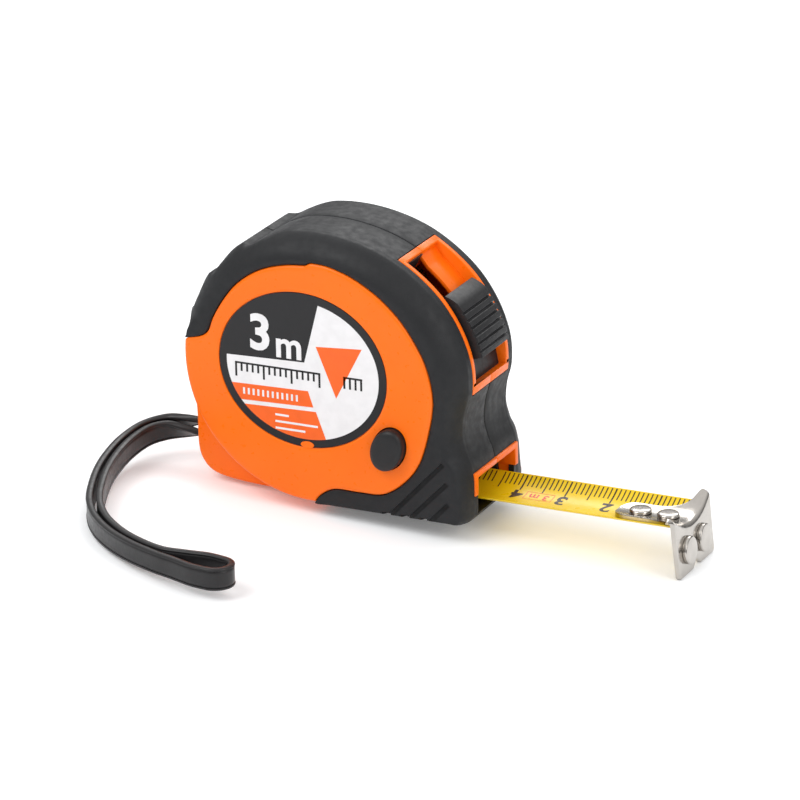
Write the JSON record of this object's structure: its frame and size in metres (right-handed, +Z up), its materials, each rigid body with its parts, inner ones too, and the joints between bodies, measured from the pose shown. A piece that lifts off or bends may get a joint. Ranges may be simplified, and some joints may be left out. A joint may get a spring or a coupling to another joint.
{
  "type": "pocket tape measure",
  "caption": "Pocket tape measure with a rubber-covered orange case, curved yellow steel blade, magnetic end hook, thumb lock, pause button, belt clip and wrist strap.",
  "frame": {"origin": "on the flat base of the case, straight below the axis the blade winds round, in the plane where the two case halves meet", "axes": "+X is the way the blade pulls out, -Y is the side with the round label and the pause button, +Z is up, away from the base"},
  "size_m": [0.1262, 0.0869, 0.0643],
  "materials": {
    "orange_shell": "satin moulded ABS",
    "grip_rubber": "matte overmoulded rubber",
    "label_print": "printed film",
    "blade_paint": "yellow lacquer on spring steel",
    "hook_nickel": "satin nickel plate",
    "bright_steel": "zinc-plated steel",
    "spring_steel": "blued spring steel",
    "spool_plastic": "natural nylon",
    "black_plastic": "fine-textured black ABS",
    "pad_rubber": "soft rubber",
    "strap_vinyl": "soft black vinyl"
  },
  "bodies": {
    "case": {"case_left": "orange_shell", "case_right": "orange_shell", "grip_left": "grip_rubber", "grip_right": "grip_rubber", "side_label": "label_print", "case_screws": "bright_steel", "spool_post": "bright_steel", "mouth_bumper": "pad_rubber", "strap_pin": "bright_steel", "wrist_strap": "strap_vinyl", "belt_clip": "bright_steel", "belt_clip_screw": "bright_steel"},
    "spool": {"spool": "spool_plastic", "spool_cover": "spool_plastic", "blade_coil": "blade_paint", "power_spring": "spring_steel"},
    "blade": {"blade": "blade_paint", "blade_rivets": "hook_nickel", "blade_feed": "blade_paint"},
    "hook": {"end_hook": "hook_nickel", "hook_magnets": "hook_nickel"},
    "lock": {"lock_button": "black_plastic", "lock_arm": "black_plastic", "lock_pad": "pad_rubber"},
    "pause_button": {"pause_button": "black_plastic", "pause_spring": "spring_steel", "pause_pad": "pad_rubber"}
  },
  "joints": [
    {"name": "spool_turn", "type": "hinge", "parent": "case", "child": "spool", "pos_m": [0, 0, 0.0298], "axis": [0, 1, 0], "range_deg": [-9550, 135]},
    {"name": "blade_pull", "type": "slide", "parent": "case", "child": "blade", "axis": [1, 0, 0], "range_m": [-0.042, 2.92], "deforming": ["blade_feed"]},
    {"name": "hook_slide", "type": "slide", "parent": "blade", "child": "hook", "axis": [1, 0, 0], "range_m": [-0.0004, 0.0005]},
    {"name": "lock_slide", "type": "hinge", "parent": "case", "child": "lock", "pos_m": [0.0022, 0, 0.0233], "axis": [0, -1, 0], "range_deg": [0, 12]},
    {"name": "pause_press", "type": "slide", "parent": "case", "child": "pause_button", "axis": [0, 1, 0], "range_m": [0, 0.0015], "stiffness_N_per_m": 1500, "springref_m": -0.0008, "deforming": ["pause_spring"]}
  ],
  "couplings": [
    {"joint": "blade_pull", "follows": "spool_turn", "m_per_rad": -0.0175}
  ]
}
